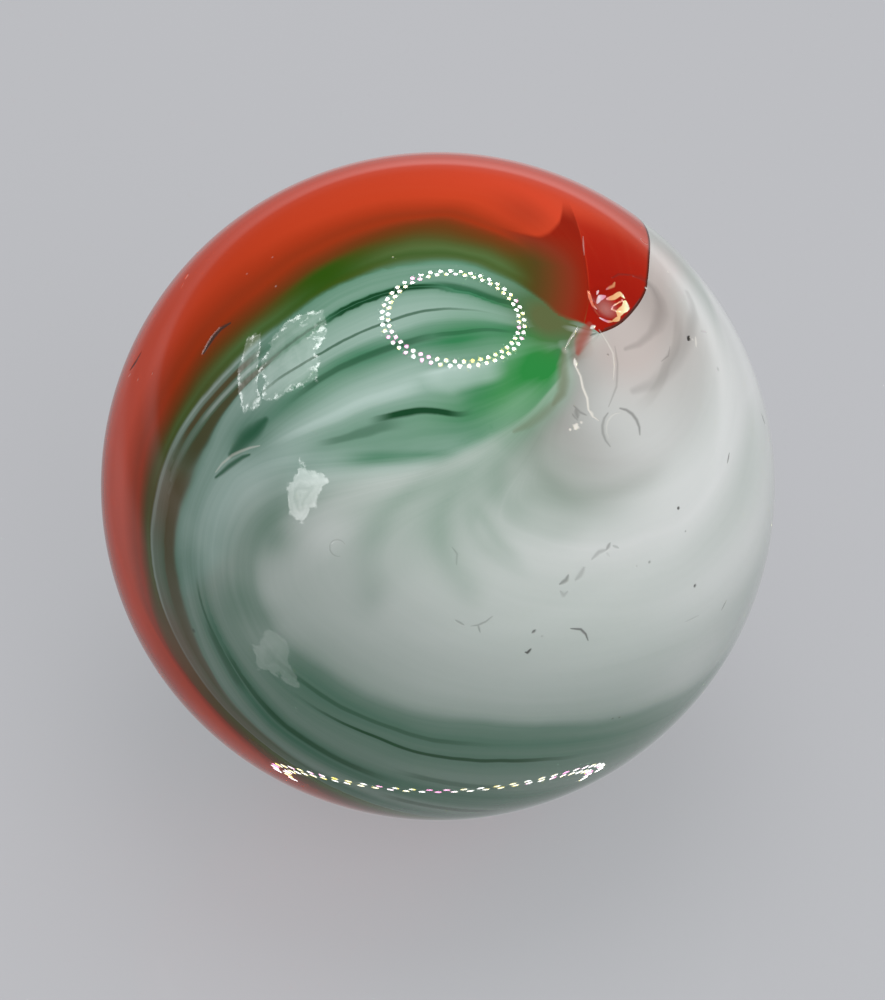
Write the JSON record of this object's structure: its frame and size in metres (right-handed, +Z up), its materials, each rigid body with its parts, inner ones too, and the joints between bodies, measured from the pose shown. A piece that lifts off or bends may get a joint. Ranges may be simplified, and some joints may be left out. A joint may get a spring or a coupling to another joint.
{
  "type": "glass marble",
  "caption": "Solid glass swirl marble in milky white and green with one red ribbon, worn by play.",
  "frame": {"origin": "centre of the ball", "axes": "+Z up, with the upper cut-off mark above the equator; -Y towards the side that shows the swirl running into the mark; -Z through the seat under the ball"},
  "size_m": [0.016, 0.016, 0.016],
  "materials": {
    "swirl_glass": "fire polished, glossy"
  },
  "bodies": {
    "root": {"marble": "swirl_glass"}
  },
  "joints": []
}
